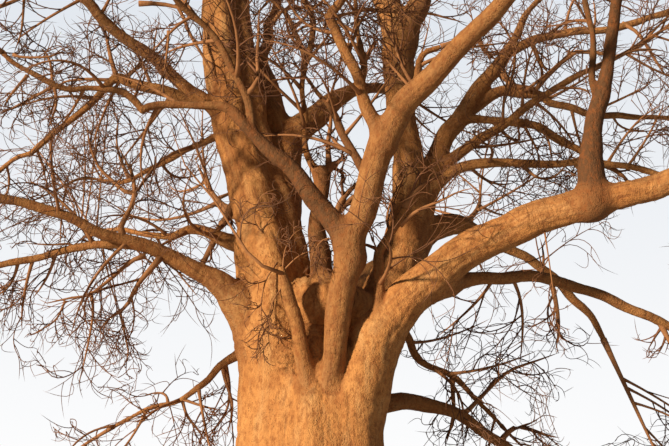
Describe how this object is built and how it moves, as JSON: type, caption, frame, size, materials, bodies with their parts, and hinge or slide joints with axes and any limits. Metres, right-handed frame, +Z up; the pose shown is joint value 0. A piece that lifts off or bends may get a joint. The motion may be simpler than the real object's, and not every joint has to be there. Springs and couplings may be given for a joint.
{
  "type": "leafless baobab tree",
  "caption": "Bare baobab tree: a thick flared trunk that divides into stout forking boughs, with open masses of hooked twigs round the crown.",
  "frame": {"origin": "middle of the flat cut under the trunk, at ground level", "axes": "+Z up along the trunk, +X to the right and +Y away for someone who faces the side that the picture shows"},
  "size_m": [21.6614, 18.4249, 19.3535],
  "materials": {
    "bark": "smooth folded bark, matte",
    "twigs": "dark matte twig bark"
  },
  "bodies": {
    "root": {"trunk": "bark", "left_leader": "bark", "right_arm": "bark", "front_arm": "bark", "right_leader": "bark", "back_left_arm": "bark", "back_right_arm": "bark", "back_low_arm": "bark", "front_stub": "bark", "knob_limb": "bark", "left_low_arm": "bark", "left_low_fork": "bark", "left_high_arm": "bark", "left_bent_arm": "bark", "left_back_arm": "bark", "left_lowest_arm": "bark", "inner_leader": "bark", "inner_bow": "bark", "leader_left_fork": "bark", "leader_right_fork": "bark", "cross_arm": "bark", "cross_arm_reach": "bark", "cross_arm_riser": "bark", "front_fork": "bark", "right_riser": "bark", "right_low_arm": "bark", "back_leader": "bark", "back_leader_fork": "bark", "right_high_arm": "bark", "right_cross_arm": "bark", "right_level_arm": "bark", "right_back_arm": "bark", "right_lowest_arm": "bark", "twigs_top_left": "twigs", "twigs_top_middle": "twigs", "twigs_high_left": "twigs", "twigs_bent_left": "twigs", "twigs_back_left": "twigs", "twigs_low_left": "twigs", "twigs_lowest_left": "twigs", "twigs_cross": "twigs", "twigs_front_left": "twigs", "twigs_front": "twigs", "twigs_front_right": "twigs", "twigs_right": "twigs", "twigs_right_rise": "twigs", "twigs_inner": "twigs", "twigs_bow": "twigs", "twigs_top_back": "twigs", "twigs_top_right": "twigs", "twigs_high_right": "twigs", "twigs_far_right": "twigs", "twigs_level_right": "twigs", "twigs_cross_right": "twigs", "twigs_right_back": "twigs", "twigs_low_right": "twigs", "twigs_lowest_right": "twigs", "twigs_back_high": "twigs", "twigs_back_right": "twigs", "twigs_back_low": "twigs"}
  },
  "joints": []
}
